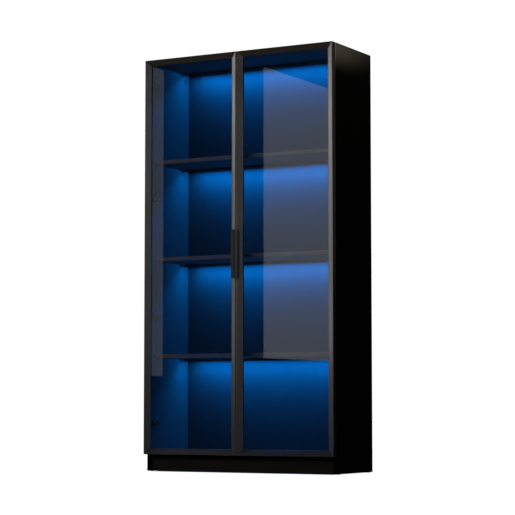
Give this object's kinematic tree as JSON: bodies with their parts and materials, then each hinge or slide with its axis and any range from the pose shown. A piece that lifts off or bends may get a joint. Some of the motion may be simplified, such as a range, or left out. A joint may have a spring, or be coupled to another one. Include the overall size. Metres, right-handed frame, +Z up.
{
  "type": "china cabinet",
  "caption": "Tall free-standing display cabinet with hinged glass doors in slim dark frames, open shelves, hidden strip lights and a recessed plinth.",
  "frame": {"origin": "middle of the footprint on the floor, taken over the whole depth from the handles to the rear edges", "axes": "+Z up, the doors face -Y, +X to the right seen from the front"},
  "size_m": [1, 0.42, 1.95],
  "materials": {
    "black_laminate": "matt black wood-grain laminate",
    "black_aluminium": "satin black anodised aluminium",
    "door_glass": "clear toughened float glass",
    "glazing_seal": "black extruded glazing seal",
    "zinc_hardware": "black-nickel-plated zinc",
    "steel_fastener": "zinc-plated steel",
    "beech_dowel": "bare beech",
    "black_plastic": "matt black moulded plastic",
    "soft_bumper": "soft grey button",
    "led_strip": "circuit strip",
    "led_diffuser": "frosted diffuser, lit blue",
    "cable_sheath": "black cable sheath"
  },
  "bodies": {
    "carcass": {"left_side_panel": "black_laminate", "right_side_panel": "black_laminate", "top_panel": "black_laminate", "bottom_panel": "black_laminate", "back_panel": "black_laminate", "plinth_board": "black_laminate", "rear_plinth_rail": "black_laminate", "rear_top_rail": "black_laminate", "lower_shelf": "black_laminate", "middle_shelf": "black_laminate", "upper_shelf": "black_laminate", "shelf_pins": "zinc_hardware", "cam_locks": "zinc_hardware", "cam_bolts": "steel_fastener", "dowels": "beech_dowel", "back_panel_screws": "steel_fastener", "floor_glides": "black_plastic", "wall_anchor_plates": "zinc_hardware", "wall_anchor_screws": "steel_fastener", "door_bumpers": "soft_bumper", "led_channels": "black_aluminium", "led_strips": "led_strip", "led_diffusers": "led_diffuser", "led_end_caps": "black_plastic", "led_driver": "black_plastic", "power_inlet": "black_plastic", "led_harness": "cable_sheath", "cable_clips": "black_plastic", "left_hinge_plates": "zinc_hardware", "right_hinge_plates": "zinc_hardware", "left_hinge_arms": "zinc_hardware", "right_hinge_arms": "zinc_hardware", "hinge_plate_screws": "steel_fastener"},
    "left_door": {"left_door_hinge_stile": "black_aluminium", "left_door_meeting_stile": "black_aluminium", "left_door_top_rail": "black_aluminium", "left_door_bottom_rail": "black_aluminium", "left_door_corner_keys": "zinc_hardware", "left_door_glass": "door_glass", "left_door_gasket": "glazing_seal", "left_door_handle": "black_aluminium", "left_door_handle_screws": "steel_fastener", "left_door_hinge_cups": "zinc_hardware", "left_door_cup_screws": "steel_fastener", "left_door_hinge_pins": "steel_fastener"},
    "right_door": {"right_door_hinge_stile": "black_aluminium", "right_door_meeting_stile": "black_aluminium", "right_door_top_rail": "black_aluminium", "right_door_bottom_rail": "black_aluminium", "right_door_corner_keys": "zinc_hardware", "right_door_glass": "door_glass", "right_door_gasket": "glazing_seal", "right_door_handle": "black_aluminium", "right_door_handle_screws": "steel_fastener", "right_door_hinge_cups": "zinc_hardware", "right_door_cup_screws": "steel_fastener", "right_door_hinge_pins": "steel_fastener"}
  },
  "joints": [
    {"name": "left_door_hinge", "type": "hinge", "parent": "carcass", "child": "left_door", "pos_m": [-0.493, -0.169, 1.015], "axis": [0, 0, -1], "range_deg": [0, 100]},
    {"name": "right_door_hinge", "type": "hinge", "parent": "carcass", "child": "right_door", "pos_m": [0.493, -0.169, 1.015], "axis": [0, 0, 1], "range_deg": [0, 100]}
  ]
}
